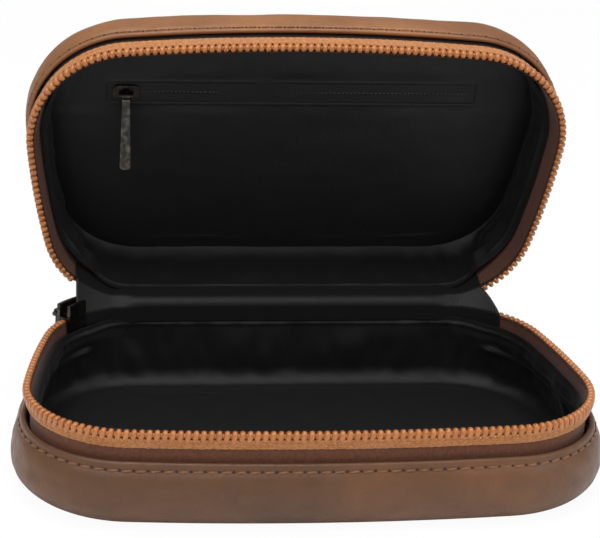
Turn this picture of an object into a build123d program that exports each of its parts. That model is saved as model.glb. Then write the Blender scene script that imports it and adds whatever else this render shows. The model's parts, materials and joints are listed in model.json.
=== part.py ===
"""Clamshell toiletry bag: two equal padded leather halves, a coil zip, a fabric hinge and a lid pocket.

Frame: origin at the centre of the tray's flat bottom, +X along the width, +Y towards the hinge, +Z up.
Each half is drawn in the tray's own frame, where w is the height above the outer panel. The lid's
pieces are the same drawings turned about the hinge line.
"""

from build123d import *
from math import asin, atan2, cos, degrees, radians, sin, sqrt
import os

# Outline of the mouth, measured along the middle of the zip coil
rim_width = 200.0
rim_depth = 112.0
front_bow_radius = 775.0
front_corner_radius = 37.0
side_bow_radius = 314.0
side_bow_y = -40.0
rear_corner_radius = 35.0

# Height of one half, its swelling sides and its rounded outer edge
half_height = 35.0
belly = 5.8
edge_round = 10.0
round_turns = (0, 22, 45, 68, 90)
wall_shares = (0.33, 0.67, 1.0)
open_angle = 75.0

# Layers of one half, from the outside in
leather = 1.0
padding = 1.75
board = 1.2
lining = 0.4
layer_gap = 0.1
hem_height = 9.0
hem_drop = 11.3
hem_face = 1.6
seam_inset = 2.0
board_step = 1.5
lining_drop = 8.0
back_seam_x = 75.0

# Main zip
tape = 0.75
tape_drop = 1.2
tape_width = 15.3
tooth_pitch = 2.54
tooth_width = 1.1
tooth_height = 4.0
tooth_thick = 2.3
head_drop = 0.6
stitch_pitch = 4.7
stitch_length = 3.4
stitch_width = 0.8
stitch_thick = 0.3
stitch_drop = 2.6
left_zip_end = 50.0
right_zip_end = 61.0
left_lid_chain_end = 32.0
touch_gap = 0.02
stitch_gap = 0.06

# Hinge fold
hinge_gap = 0.3
hinge_leg = 5.0
hinge_half_length = 57.5
web_thick = 0.4

# Sliders and pullers
slider_start = 35.0
slider_end = 51.0
slider_half_height = 5.4
slider_plate = 1.2
slider_clear = 0.13
slider_post = 0.9
slider_post_turn = 4.0
bar_radius = 0.7
bar_bite = 0.5
bar_stand = 2.9
bar_length = 7.6
bar_leg = 1.4
eye_clear = 0.08
eye_wall = 0.9
puller_neck = 4.0
puller_end = 5.6
puller_length = 17.0
puller_thick = 1.2
puller_round = 0.35

# Lid pocket
pocket_length = 140.0
pocket_reach = 78.0
slit_width = 8.0
pocket_tape_width = 11.0
pocket_slot = 1.0
pocket_pitch = 1.6
pocket_tooth_width = 0.75
pocket_tooth_height = 2.3
pocket_tooth_thick = 1.4
pouch_sheet = 0.3
pouch_room = 3.4
pouch_above = 14.0
pouch_below = 58.0
pouch_margin = 6.0
pocket_slider_inset = 6.3
pocket_slider_length = 10.0
pocket_slider_width = 6.4
pocket_plate = 1.0
pocket_post = 0.8
pocket_bar_radius = 0.6
pocket_bar_stand = 2.1
pocket_bar_length = 5.4
pocket_bar_leg = 1.1
pocket_puller_length = 29.0
pocket_puller_neck = 2.8
pocket_puller_end = 4.2
pocket_puller_thick = 1.0

os.makedirs("parts", exist_ok=True)

# Places worked out from the sizes above
half_width = rim_width / 2
rim_front = -rim_depth / 2
rim_back = rim_depth / 2
hem_top = half_height - hem_drop
hem_foot = hem_top - hem_height
hem_rise = hem_top - edge_round
upper_drop = belly - hem_face
upper_round = (hem_rise**2 + upper_drop**2) / (2 * upper_drop)
tape_depth = 2 * leather + layer_gap
lining_depth = tape_depth + tape + layer_gap
inside_depth = lining_depth + lining


def skin(height, depth):
    """Growth of the outline and its back line, for the surface that lies depth inside the leather."""
    if height < edge_round:
        reach = sqrt((edge_round - depth) ** 2 - (edge_round - height) ** 2)
        return belly - edge_round + reach, rim_back - hinge_gap - edge_round + reach
    level = min(height, hem_top) - edge_round
    growth = belly - upper_round + sqrt((upper_round - depth) ** 2 - level**2)
    lean = (belly + hinge_gap) * (1 - (level / hem_rise) ** 2)
    return growth, rim_back + growth - lean


def half_arcs(growth, back):
    """Right half of the outline as (centre, radius, start, end) arcs, from the front to the back."""
    front = Vector(0, rim_front + front_bow_radius)
    side = Vector(half_width - side_bow_radius, side_bow_y)
    from_front = front_bow_radius - front_corner_radius
    from_side = side_bow_radius - front_corner_radius
    span = side - front
    along = (from_front**2 - from_side**2 + span.length**2) / (2 * span.length)
    across = sqrt(from_front**2 - along**2)
    step = span.normalized()
    corner = front + step * along + Vector(-step.Y, step.X) * across
    rear_y = back - rear_corner_radius - growth
    rear_x = side.X + sqrt((side_bow_radius - rear_corner_radius) ** 2 - (rear_y - side.Y) ** 2)
    rear = Vector(rear_x, rear_y)
    first = degrees(atan2(corner.Y - front.Y, corner.X - front.X))
    second = degrees(atan2(corner.Y - side.Y, corner.X - side.X))
    third = degrees(atan2(rear.Y - side.Y, rear.X - side.X))
    return [
        (front, front_bow_radius + growth, -90.0, first),
        (corner, front_corner_radius + growth, first, second),
        (side, side_bow_radius + growth, second, third),
        (rear, rear_corner_radius + growth, third, 90.0),
    ]


def outline(height, growth, back):
    """The whole closed outline as a face at one height."""
    with BuildSketch(Plane.XY.offset(height)) as face:
        with BuildLine():
            for centre, radius, start, end in half_arcs(growth, back):
                last = CenterArc(centre, radius, start, end - start)
            Line(last @ 1, (0, back))
            mirror(about=Plane.YZ)
        make_face()
    return face.sketch


def half_solid(depth, top):
    """Everything inside the surface that lies depth within the leather, up to the height top."""
    lower = [edge_round - (edge_round - depth) * cos(radians(turn)) for turn in round_turns]
    upper = [edge_round + hem_rise * share for share in wall_shares]
    with BuildPart() as solid:
        loft(sections=[outline(height, *skin(height, depth)) for height in lower + upper])
        if top > hem_top:
            extrude(outline(hem_top, *skin(hem_top, depth)), amount=top - hem_top)
        else:
            split(bisect_by=Plane.XY.offset(top), keep=Keep.BOTTOM)
        back = rim_back - hinge_gap - depth
        split(bisect_by=Plane((0, back, 0), x_dir=(1, 0, 0), z_dir=(0, 1, 0)), keep=Keep.BOTTOM)
    return solid.part


def layer(outer, inner, top):
    """A shell between two depths, open at the top."""
    with BuildPart() as shell:
        add(half_solid(outer, top))
        add(half_solid(inner, top), mode=Mode.SUBTRACT)
    return shell.part


def block(x_half, y_low, y_high, z_low, z_high):
    """A plain box used to cut a shell."""
    with BuildPart() as cutter:
        with BuildSketch(Plane.XY.offset(z_low)):
            with Locations((0, (y_low + y_high) / 2)):
                Rectangle(2 * x_half, y_high - y_low)
        extrude(amount=z_high - z_low)
    return cutter.part


def back_block(x_half, z_low=-1.0, z_high=2 * half_height):
    """The part of a half that belongs to its back wall."""
    return block(x_half, 0, rim_depth, z_low, z_high)


def side_band(z_low, z_high):
    """A slab as wide as the whole bag between two heights."""
    return block(rim_width, -rim_depth, rim_depth, z_low, z_high)


def floor_plate(z_low, thick, inset):
    """A flat plate inside the bottom edge."""
    growth, back = skin(0, 0)
    with BuildPart() as plate:
        extrude(outline(z_low, growth - inset, back - inset), amount=thick)
    return plate.part


def finish(piece, label):
    """Name a finished piece and write it."""
    piece.label = label
    export_step(piece, f"parts/{label}.step")
    return piece


# The lid's drawings are turned half round about the vertical, then swung up about the hinge line
swing = radians(180 - open_angle)
lid_plane = Plane(
    origin=(
        0,
        rim_back + cos(swing) * rim_depth / 2 + sin(swing) * half_height,
        half_height + sin(swing) * rim_depth / 2 - cos(swing) * half_height,
    ),
    x_dir=(-1, 0, 0),
    z_dir=(0, -sin(swing), cos(swing)),
)


def for_lid(piece, label):
    """The same piece in the lid's place."""
    return finish(piece.moved(lid_plane.location), label)


# Leather: bottom panel, front and side wall with its turned hem, flat back wall
skin_shell = layer(0, leather, half_height - hinge_leg)

panel = floor_plate(0, leather, seam_inset)
finish(panel, "base_panel")
for_lid(panel, "lid_panel")

with BuildPart() as wall:
    add(skin_shell)
    add(side_band(hem_top, 2 * half_height), mode=Mode.SUBTRACT)
    add(layer(leather, 2 * leather, hem_top) & side_band(hem_foot, hem_top))
    add(back_block(back_seam_x), mode=Mode.SUBTRACT)
    add(floor_plate(-1, 1 + leather, seam_inset - layer_gap), mode=Mode.SUBTRACT)
finish(wall.part, "base_wall")
for_lid(wall.part, "lid_wall")

with BuildPart() as back_wall:
    add(skin_shell)
    add(back_block(back_seam_x - layer_gap), mode=Mode.INTERSECT)
    add(floor_plate(-1, 1 + leather, seam_inset - layer_gap), mode=Mode.SUBTRACT)
finish(back_wall.part, "base_back_wall")
for_lid(back_wall.part, "lid_back_wall")

# Stiffening board in each panel and the padding round the walls
board_inset = seam_inset + board_step
stiffener = floor_plate(leather + layer_gap, board, board_inset)
finish(stiffener, "base_board")
for_lid(stiffener, "lid_board")

with BuildPart() as foam:
    add(layer(leather + layer_gap, leather + layer_gap + padding, hem_foot - layer_gap))
    add(floor_plate(-1, 1 + lining_depth, board_inset - layer_gap), mode=Mode.SUBTRACT)
finish(foam.part, "base_padding")
for_lid(foam.part, "lid_padding")

# Lining: wall with its visible top edge, and floor
lining_top = half_height - lining_drop
lining_shell = layer(lining_depth, inside_depth, half_height - hinge_leg)

with BuildPart() as lining_wall:
    add(lining_shell)
    add(floor_plate(-1, 1 + inside_depth, board_inset - layer_gap), mode=Mode.SUBTRACT)
    add(side_band(lining_top, 2 * half_height) - back_block(back_seam_x), mode=Mode.SUBTRACT)
finish(lining_wall.part, "base_lining_wall")

lining_floor = floor_plate(lining_depth, lining, board_inset)
finish(lining_floor, "base_lining_floor")

# Zip tape on each half, cut away along the hinge
rear_centre = half_arcs(0, rim_back)[3][0]


def zip_end_x(turn):
    """How far out the zip reaches when it ends at this turn of the rear corner."""
    return rear_centre.X + rear_corner_radius * cos(radians(turn))


def hinge_side(left_x, right_x):
    """The space behind the two zip ends."""
    with BuildPart() as cutter:
        with BuildSketch(Plane.XY.offset(-1)):
            with Locations(((right_x - left_x) / 2, rim_back)):
                Rectangle(left_x + right_x, rim_depth)
        extrude(amount=3 * half_height)
    return cutter.part


tape_band = layer(tape_depth, tape_depth + tape, half_height - tape_drop)
tape_foot = half_height - tape_drop - tape_width


def zip_tape(left_turn, right_turn):
    """A flat tape standing on edge round the mouth."""
    with BuildPart() as band:
        add(tape_band)
        add(side_band(-1, tape_foot), mode=Mode.SUBTRACT)
        add(hinge_side(zip_end_x(left_turn), zip_end_x(right_turn)), mode=Mode.SUBTRACT)
    return band.part


base_tape = zip_tape(left_zip_end, right_zip_end)
lid_tape = zip_tape(right_zip_end, left_zip_end)
finish(base_tape, "base_zip_tape")
for_lid(lid_tape, "lid_zip_tape")

# Coil teeth, stops and stitches are set out along the mouth from the front centre
tape_face = skin(hem_top, tape_depth)[0]


def rim_place(distance, growth=0.0, back=rim_back):
    """Point on an outline and its outward direction, this far along from the front centre."""
    left = abs(distance)
    side = 1 if distance >= 0 else -1
    for centre, radius, start, end in half_arcs(growth, back):
        length = radians(end - start) * radius
        if left <= length:
            break
        left -= length
    turn = radians(start) + left / radius
    point = centre + Vector(cos(turn), sin(turn)) * radius
    return Vector(side * point.X, point.Y), Vector(side * cos(turn), sin(turn))


def rim_length(turn):
    """Length of the coil line from the front centre to this turn of the rear corner."""
    arcs = half_arcs(0, rim_back)
    whole = sum(radians(end - start) * radius for centre, radius, start, end in arcs[:3])
    return whole + radians(turn - arcs[3][2]) * rear_corner_radius


def tooth_row(shift, left_turn, right_turn):
    """Separate coil teeth between two zip ends, each a rounded slot standing on the tape's face."""
    count = int(rim_length(90) / tooth_pitch) + 1
    spots = [(index + shift) * tooth_pitch for index in range(-count, count + 1)]
    spots = [s for s in spots if -rim_length(left_turn) + tooth_pitch < s]
    spots = [s for s in spots if s < rim_length(right_turn) - tooth_pitch]
    middle = half_height - head_drop - tooth_height / 2
    planes = []
    for spot in spots:
        point, normal = rim_place(spot)
        start = point + normal * (tape_face + touch_gap) + Vector(0, 0, middle)
        planes.append(Plane(start, x_dir=(0, 0, 1), z_dir=normal))
    with BuildPart() as row:
        with BuildSketch(*planes):
            SlotOverall(tooth_height, tooth_width)
        extrude(amount=tooth_thick)
    return row.part


finish(tooth_row(0, left_zip_end, right_zip_end), "base_zip_coil")
for_lid(tooth_row(0.5, right_zip_end, left_lid_chain_end), "lid_zip_coil")


def end_stops(left_turn, right_turn):
    """A moulded stop on the tape at each end of a tooth row."""
    middle = half_height - head_drop - tooth_height / 2
    planes = []
    for spot in (-rim_length(left_turn), rim_length(right_turn)):
        inset = tooth_pitch / 2 if spot < 0 else -tooth_pitch / 2
        point, normal = rim_place(spot + inset)
        start = point + normal * (tape_face + touch_gap) + Vector(0, 0, middle)
        planes.append(Plane(start, x_dir=(0, 0, 1), z_dir=normal))
    with BuildPart() as stops:
        with BuildSketch(*planes):
            RectangleRounded(tooth_height, tooth_width, tooth_width / 4)
        extrude(amount=tooth_thick)
    return stops.part


finish(end_stops(left_zip_end, right_zip_end), "base_zip_stops")
for_lid(end_stops(right_zip_end, left_lid_chain_end), "lid_zip_stops")


def stitch_row():
    """Stitches lying on the hem, a fixed drop below its edge."""
    height = hem_top - stitch_drop
    growth, back = skin(height, 0)
    slope = asin((height - edge_round) / upper_round)
    reach = min(rim_length(left_zip_end), rim_length(right_zip_end))
    count = int(reach / stitch_pitch)
    planes = []
    for index in range(-count, count + 1):
        point, normal = rim_place(index * stitch_pitch, growth, back)
        outward = normal * cos(slope) + Vector(0, 0, sin(slope))
        start = Vector(point.X, point.Y, height) + outward * stitch_gap
        planes.append(Plane(start, x_dir=Vector(-normal.Y, normal.X, 0), z_dir=outward))
    with BuildPart() as row:
        with BuildSketch(*planes):
            SlotOverall(stitch_length, stitch_width)
        extrude(amount=stitch_thick)
    return row.part


stitches = stitch_row()
finish(stitches, "base_stitching")
for_lid(stitches, "lid_stitching")


# Hinge: a leather fold outside and a lining fold inside, bent round the hinge line as the bag stands
hinge_plane = Plane((0, rim_back, half_height), x_dir=(0, 1, 0), z_dir=(1, 0, 0))
opened = 90 + 90 - open_angle


def hinge_fold(near, thick, half_length, leg):
    """A strip with a leg down the tray's back, a bend round the hinge line and a leg on the lid's back."""
    lid_way = Vector(cos(radians(opened - 90)), sin(radians(opened - 90)))
    lid_side = Vector(-lid_way.Y, lid_way.X)
    far = near + thick
    with BuildPart() as fold:
        with BuildSketch(hinge_plane.offset(-half_length)):
            with BuildLine():
                Polyline((-near, 0), (-near, -leg), (-far, -leg), (-far, 0))
                CenterArc((0, 0), far, 180, opened - 180)
                ends = [lid_side * far, lid_side * far + lid_way * leg, lid_side * near + lid_way * leg]
                Polyline(*ends, lid_side * near)
                CenterArc((0, 0), near, opened, 180 - opened)
            make_face()
        extrude(amount=2 * half_length)
    return fold.part


leg_length = hinge_leg - layer_gap
finish(hinge_fold(hinge_gap, leather, hinge_half_length, leg_length), "hinge_leather")
finish(hinge_fold(hinge_gap + lining_depth, lining, hinge_half_length, leg_length), "hinge_lining")


# Lining gussets that close the corners between the zip ends and the hinge
hinge_axis = Axis((0, rim_back, half_height), (-1, 0, 0))


def gusset_strip(side, end_turn):
    """The thin edge of a corner gusset in the plane of the mouth."""
    start_x = hinge_half_length + hinge_gap
    end_x = zip_end_x(end_turn) - layer_gap
    ring = outline(half_height, *skin(hem_top, tape_depth))
    ring -= outline(half_height, *skin(hem_top, tape_depth + web_thick))
    with BuildSketch(Plane.XY.offset(half_height)) as strip:
        with Locations((side * (start_x + end_x) / 2, rim_back)):
            Rectangle(end_x - start_x, rim_depth)
    return ring & strip.sketch


def gusset_leg(side, end_turn):
    """The part of a gusset sewn down inside one half."""
    with BuildPart() as leg:
        extrude(gusset_strip(side, end_turn), amount=leg_length, dir=(0, 0, -1))
    return leg.part


def corner_gusset(side, end_turn):
    """A gusset swept from the tray's mouth up to the lid's."""
    with BuildPart() as gusset:
        revolve(gusset_strip(side, end_turn), axis=hinge_axis, revolution_arc=open_angle)
        add(gusset_leg(side, end_turn))
        add(gusset_leg(-side, end_turn).moved(lid_plane.location))
    return gusset.part


finish(corner_gusset(-1, left_zip_end), "left_gusset")
finish(corner_gusset(1, right_zip_end), "right_gusset")


# Sliders and pullers share one bridge bar and one eyed tab
def bridge(plane, radius, stand, length, leg):
    """A round bar held off a plate on two legs; the plane's origin is on the bar's axis."""
    with BuildPart() as bar:
        with BuildSketch(Plane(plane.origin, x_dir=plane.y_dir, z_dir=plane.x_dir)):
            Circle(radius)
        extrude(amount=length / 2, both=True)
        with BuildSketch(plane.offset(-stand)):
            with Locations((-(length - leg) / 2, 0), ((length - leg) / 2, 0)):
                Rectangle(leg, 2 * radius)
        extrude(amount=stand + radius * bar_bite)
    return bar.part


def puller(plane, radius, neck, end, length, thick):
    """A flat tab hanging along the plane's -Y from an eye round the bar."""
    bore = radius + eye_clear
    with BuildPart() as tab:
        with BuildSketch(plane):
            with BuildLine():
                Polyline((-neck / 2, 0), (-end / 2, -length), (end / 2, -length), (neck / 2, 0), close=True)
            make_face()
        extrude(amount=thick / 2, both=True)
        far = plane.origin - plane.y_dir * length
        corners = tab.edges().filter_by(Axis(plane.origin, plane.z_dir)).sort_by_distance(far)[:2]
        fillet(corners, end * puller_round)
        with BuildSketch(Plane(plane.origin, x_dir=plane.y_dir, z_dir=plane.x_dir)):
            Circle(bore + eye_wall)
        extrude(amount=neck / 2, both=True)
        with BuildSketch(Plane(plane.origin, x_dir=plane.y_dir, z_dir=plane.x_dir)):
            Circle(bore)
        extrude(amount=neck, both=True, mode=Mode.SUBTRACT)
    return tab.part


# Main slider, parked at the left end of the zip and running round the rear corner
slider_centre = (-rear_centre.X, rear_centre.Y)
tape_back = skin(hem_top, tape_depth + tape)[0]
outer_low = rear_corner_radius + tape_face + touch_gap + tooth_thick + slider_clear
outer_high = outer_low + slider_plate
inner_high = rear_corner_radius + tape_back - slider_clear
inner_low = inner_high - slider_plate


def sector(inner, outer, start, end, half_thick):
    """A curved plate about the rear corner's centre, level with the mouth."""
    with BuildPart() as plate:
        with BuildSketch(Plane.XY.offset(half_height - half_thick)):
            with BuildLine():
                rim = CenterArc(slider_centre, outer, 180 - end, end - start)
                root = CenterArc(slider_centre, inner, 180 - end, end - start)
                Line(rim @ 0, root @ 0)
                Line(rim @ 1, root @ 1)
            make_face()
        extrude(amount=2 * half_thick)
    return plate.part


slider_turn = 180 - (slider_start + slider_end) / 2
slider_way = Vector(cos(radians(slider_turn)), sin(radians(slider_turn)))
bar_place = Vector(*slider_centre, half_height) + slider_way * (outer_high + bar_stand)
bar_plane = Plane(bar_place, x_dir=(-slider_way.Y, slider_way.X, 0), z_dir=slider_way)

with BuildPart() as main_slider:
    add(sector(outer_low, outer_high, slider_start, slider_end, slider_half_height))
    add(sector(inner_low, inner_high, slider_start, slider_end, slider_half_height))
    post_end = slider_start + slider_post_turn
    add(sector(inner_low, outer_high, slider_start, post_end, slider_post / 2))
    add(bridge(bar_plane, bar_radius, bar_stand + slider_plate / 2, bar_length, bar_leg))
finish(main_slider.part, "main_slider")
finish(puller(bar_plane, bar_radius, puller_neck, puller_end, puller_length, puller_thick), "main_puller")

# Lid lining: wall and panel, with a slit over the pocket zip
pocket_v = rim_back - pocket_reach
pouch_floor = leather + layer_gap + board + layer_gap
panel_level = pouch_floor + pouch_sheet + pouch_room + layer_gap

with BuildPart() as lid_lining_wall:
    add(lining_shell)
    add(side_band(-1, panel_level), mode=Mode.SUBTRACT)
    add(side_band(lining_top, 2 * half_height) - back_block(back_seam_x), mode=Mode.SUBTRACT)
for_lid(lid_lining_wall.part, "lid_lining_wall")

with BuildPart() as lid_lining_panel:
    extrude(outline(panel_level, *skin(panel_level, inside_depth + layer_gap)), amount=lining)
    with BuildSketch(Plane.XY.offset(panel_level)):
        with Locations((0, pocket_v)):
            Rectangle(pocket_length, slit_width)
    extrude(amount=lining, mode=Mode.SUBTRACT)
for_lid(lid_lining_panel.part, "lid_lining_panel")

# Pocket pouch behind the slit
with BuildPart() as pouch:
    pouch_x = pocket_length + 2 * pouch_margin
    pouch_v = pocket_v + (pouch_below - pouch_above) / 2
    with BuildSketch(Plane.XY.offset(pouch_floor)):
        with Locations((0, pouch_v)):
            RectangleRounded(pouch_x, pouch_above + pouch_below, pouch_margin)
    extrude(amount=pouch_sheet + pouch_room)
    with BuildSketch(Plane.XY.offset(pouch_floor + pouch_sheet)):
        with Locations((0, pouch_v)):
            inner_v = pouch_above + pouch_below - 2 * pouch_sheet
            RectangleRounded(pouch_x - 2 * pouch_sheet, inner_v, pouch_margin - pouch_sheet)
    extrude(amount=pouch_room, mode=Mode.SUBTRACT)
for_lid(pouch.part, "pocket_pouch")

# Pocket zip: two tapes, their teeth on the hidden side, and an end stop at each end
tape_level = panel_level - layer_gap - lining
coil_level = tape_level - touch_gap - pocket_tooth_thick
for side, name in ((-1, "upper"), (1, "lower")):
    with BuildPart() as pocket_tape:
        with BuildSketch(Plane.XY.offset(tape_level)):
            with Locations((0, pocket_v + side * (pocket_slot + pocket_tape_width) / 2)):
                Rectangle(pocket_length + pouch_margin, pocket_tape_width)
        extrude(amount=lining)
    for_lid(pocket_tape.part, f"pocket_{name}_tape")

    with BuildPart() as pocket_coil:
        with BuildSketch(Plane.XY.offset(coil_level)):
            with Locations((0, pocket_v + side * (pocket_slot + pocket_tooth_height) / 2)):
                with GridLocations(pocket_pitch, 1, int(pocket_length / pocket_pitch) - 1, 1):
                    Rectangle(pocket_tooth_width, pocket_tooth_height)
        extrude(amount=pocket_tooth_thick)
    for_lid(pocket_coil.part, f"pocket_{name}_coil")

with BuildPart() as pocket_stops:
    with BuildSketch(Plane.XY.offset(coil_level)):
        with Locations((0, pocket_v)):
            with GridLocations(pocket_length + pocket_pitch, 1, 2, 1):
                Rectangle(pocket_pitch, pocket_slot + 2 * pocket_tooth_height)
    extrude(amount=pocket_tooth_thick)
for_lid(pocket_stops.part, "pocket_zip_stops")

# Pocket slider at the left end, its puller hanging straight down as the bag stands open
slider_u = pocket_length / 2 - pocket_slider_inset
front_level = tape_level + lining + slider_clear
rear_level = coil_level - slider_clear - pocket_plate
pin_level = front_level + pocket_plate + pocket_bar_stand
pin_place = Vector(slider_u, pocket_v, pin_level)
hang = radians(90 - open_angle)
pin_plane = Plane(pin_place, x_dir=(1, 0, 0), z_dir=(0, sin(hang), -cos(hang)))
flat_pin_plane = Plane(pin_place, x_dir=(1, 0, 0), z_dir=(0, 0, 1))

with BuildPart() as pocket_slider:
    for level in (front_level, rear_level):
        with BuildSketch(Plane.XY.offset(level)):
            with Locations((slider_u, pocket_v)):
                RectangleRounded(pocket_slider_length, pocket_slider_width, pocket_slider_width / 3)
        extrude(amount=pocket_plate)
    with BuildSketch(Plane.XY.offset(rear_level)):
        with Locations((slider_u - pocket_slider_length / 4, pocket_v)):
            Rectangle(pocket_slider_length / 4, pocket_post)
    extrude(amount=front_level - rear_level + pocket_plate)
    stand = pocket_bar_stand + pocket_plate / 2
    add(bridge(flat_pin_plane, pocket_bar_radius, stand, pocket_bar_length, pocket_bar_leg))
for_lid(pocket_slider.part, "pocket_slider")

hanging = puller(
    pin_plane,
    pocket_bar_radius,
    pocket_puller_neck,
    pocket_puller_end,
    pocket_puller_length,
    pocket_puller_thick,
)
for_lid(hanging, "pocket_puller")
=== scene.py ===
"""Dresses the toiletry bag: leather halves, linings, coil zips, hinge, pocket and metal parts."""

import bpy
import bmesh
import json
from math import asin, atan2, ceil, copysign, cos, exp, pi, radians, sin, sqrt
from mathutils import Matrix, Vector, noise

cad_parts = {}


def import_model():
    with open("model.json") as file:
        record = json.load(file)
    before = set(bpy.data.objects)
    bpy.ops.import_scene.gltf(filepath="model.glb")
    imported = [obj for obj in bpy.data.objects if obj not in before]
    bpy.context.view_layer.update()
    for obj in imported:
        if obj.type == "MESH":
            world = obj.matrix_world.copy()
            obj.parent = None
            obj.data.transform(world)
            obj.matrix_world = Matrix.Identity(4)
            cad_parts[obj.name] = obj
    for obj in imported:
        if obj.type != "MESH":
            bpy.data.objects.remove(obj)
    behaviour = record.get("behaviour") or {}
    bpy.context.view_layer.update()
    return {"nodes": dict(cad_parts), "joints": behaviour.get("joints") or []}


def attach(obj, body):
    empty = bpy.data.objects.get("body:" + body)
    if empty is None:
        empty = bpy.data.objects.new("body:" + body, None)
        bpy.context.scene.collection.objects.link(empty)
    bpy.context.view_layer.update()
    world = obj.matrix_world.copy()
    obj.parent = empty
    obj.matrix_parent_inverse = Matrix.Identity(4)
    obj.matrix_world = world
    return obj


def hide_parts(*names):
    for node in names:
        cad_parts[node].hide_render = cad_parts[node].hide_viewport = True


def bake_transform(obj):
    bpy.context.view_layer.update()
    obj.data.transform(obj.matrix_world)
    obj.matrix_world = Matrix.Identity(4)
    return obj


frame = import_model()

# Sizes of the bag in millimetres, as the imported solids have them
MM = 0.001
rim_width = 200.0
rim_depth = 112.0
front_bow_radius = 775.0
front_corner_radius = 37.0
side_bow_radius = 314.0
side_bow_y = -40.0
rear_corner_radius = 35.0
half_height = 35.0
leather = 1.0
tape = 0.75
layer_gap = 0.1
lining = 0.4
hinge_gap = 0.3
hinge_leg = 5.0
hem_drop = 11.3
hem_face = 1.6
tape_drop = 1.2
tooth_pitch = 2.54
stitch_pitch = 4.7
left_zip_end = 50.0
right_zip_end = 61.0
pocket_length = 140.0
pocket_reach = 78.0
slit_width = 8.0
panel_level = 6.2

# The lid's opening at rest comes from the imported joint
hinge = next(j for j in frame["joints"] if j["name"] == "lid_hinge")
open_angle = -hinge["range_deg"][0]
rim_front = -rim_depth / 2
rim_back = rim_depth / 2
hem_top = half_height - hem_drop
tape_depth = 2 * leather + layer_gap
inside_depth = tape_depth + tape + layer_gap + lining

swing = radians(180 - open_angle)
lid_y = rim_back + cos(swing) * rim_depth / 2 + sin(swing) * half_height
lid_z = half_height + sin(swing) * rim_depth / 2 - cos(swing) * half_height
lid_turn = Matrix((
    (-1, 0, 0, 0),
    (0, -cos(swing), -sin(swing), lid_y),
    (0, -sin(swing), cos(swing), lid_z),
    (0, 0, 0, 1),
))


class Half:
    """One half of the bag: its body and place, and the sizes in which the two halves differ."""

    def __init__(
        self, body, place, belly, edge_round, zip_ends, flare, hem_level, lining_top, seed
    ):
        self.body = body
        self.place = place
        self.belly = belly
        self.edge_round = edge_round
        self.zip_ends = zip_ends
        self.flare = flare
        self.hem_level = hem_level
        self.lining_top = lining_top
        self.seed = seed
        self.hem_rise = hem_top - edge_round
        upper_drop = belly - hem_face
        self.upper_round = (self.hem_rise**2 + upper_drop**2) / (2 * upper_drop)

    def skin(self, height, depth):
        """The outline's growth and its back line, for the surface at a depth inside the leather."""
        back = rim_back - hinge_gap
        if height < self.edge_round:
            inner = max(0.0, (self.edge_round - depth) ** 2 - (self.edge_round - height) ** 2)
            reach = sqrt(inner) - self.edge_round
            return self.belly + reach, back + reach
        level = min(height, hem_top) - self.edge_round
        growth = self.belly - self.upper_round + sqrt((self.upper_round - depth) ** 2 - level**2)
        lean = (self.belly + hinge_gap) * (1 - (level / self.hem_rise) ** 2)
        return growth, min(rim_back + growth - lean, back - depth)


# The tray's coil ends a little sooner on the right than the solid's does
tray_right_end = 55.0

# How far the tape leans in at the front of either half
front_flare = 0.4

tray = Half(
    "base", Matrix.Identity(4), belly=5.8, edge_round=10.0, zip_ends=(left_zip_end, tray_right_end),
    flare=front_flare, hem_level=22.4, lining_top=30.2, seed=1.3,
)
lid = Half(
    "lid", lid_turn, belly=2.0, edge_round=14.0, zip_ends=(right_zip_end, left_zip_end),
    flare=4.2, hem_level=21.2, lining_top=27.0, seed=5.1,
)


# Outline of the mouth


def half_arcs(growth, back):
    """Right half of the outline as (centre, radius, start, end) arcs in radians, from the front."""
    front = Vector((0, rim_front + front_bow_radius))
    side = Vector((rim_width / 2 - side_bow_radius, side_bow_y))
    from_front = front_bow_radius - front_corner_radius
    from_side = side_bow_radius - front_corner_radius
    span = side - front
    along = (from_front**2 - from_side**2 + span.length_squared) / (2 * span.length)
    across = sqrt(from_front**2 - along**2)
    step = span.normalized()
    corner = front + step * along + Vector((-step.y, step.x)) * across
    rear_y = back - rear_corner_radius - growth
    rear_x = side.x + sqrt((side_bow_radius - rear_corner_radius) ** 2 - (rear_y - side.y) ** 2)
    rear = Vector((rear_x, rear_y))
    first = atan2(corner.y - front.y, corner.x - front.x)
    second = atan2(corner.y - side.y, corner.x - side.x)
    third = atan2(rear.y - side.y, rear.x - side.x)
    return [
        (front, front_bow_radius + growth, -pi / 2, first),
        (corner, front_corner_radius + growth, first, second),
        (side, side_bow_radius + growth, second, third),
        (rear, rear_corner_radius + growth, third, pi / 2),
    ]


def half_length(growth=0.0, back=rim_back, turn=None):
    """Length of half the outline, or only up to a turn of the rear corner in degrees."""
    arcs = half_arcs(growth, back)
    total = sum((end - start) * radius for centre, radius, start, end in arcs[:3])
    centre, radius, start, end = arcs[3]
    if turn is None:
        return total + (end - start) * radius + centre.x
    return total + (radians(turn) - start) * radius


def rim_place(distance, growth=0.0, back=rim_back):
    """Point on the outline and its outward direction, this far to the right of the front centre."""
    left = abs(distance)
    side = 1 if distance >= 0 else -1
    for centre, radius, start, end in half_arcs(growth, back):
        length = (end - start) * radius
        if left <= length:
            turn = start + left / radius
            way = Vector((cos(turn), sin(turn)))
            point = centre + way * radius
            return Vector((side * point.x, point.y)), Vector((side * way.x, way.y))
        left -= length
    return Vector((side * max(0.0, centre.x - left), back)), Vector((0, 1))


def smooth_step(low, high, value):
    """0 below low, 1 above high, and smooth between."""
    share = min(1.0, max(0.0, (value - low) / (high - low)))
    return share * share * (3 - 2 * share)


def ridge(value, centre, width):
    """1 at the centre, falling smoothly to 0 about two widths away."""
    return exp(-(((value - centre) / width) ** 2))


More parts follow.
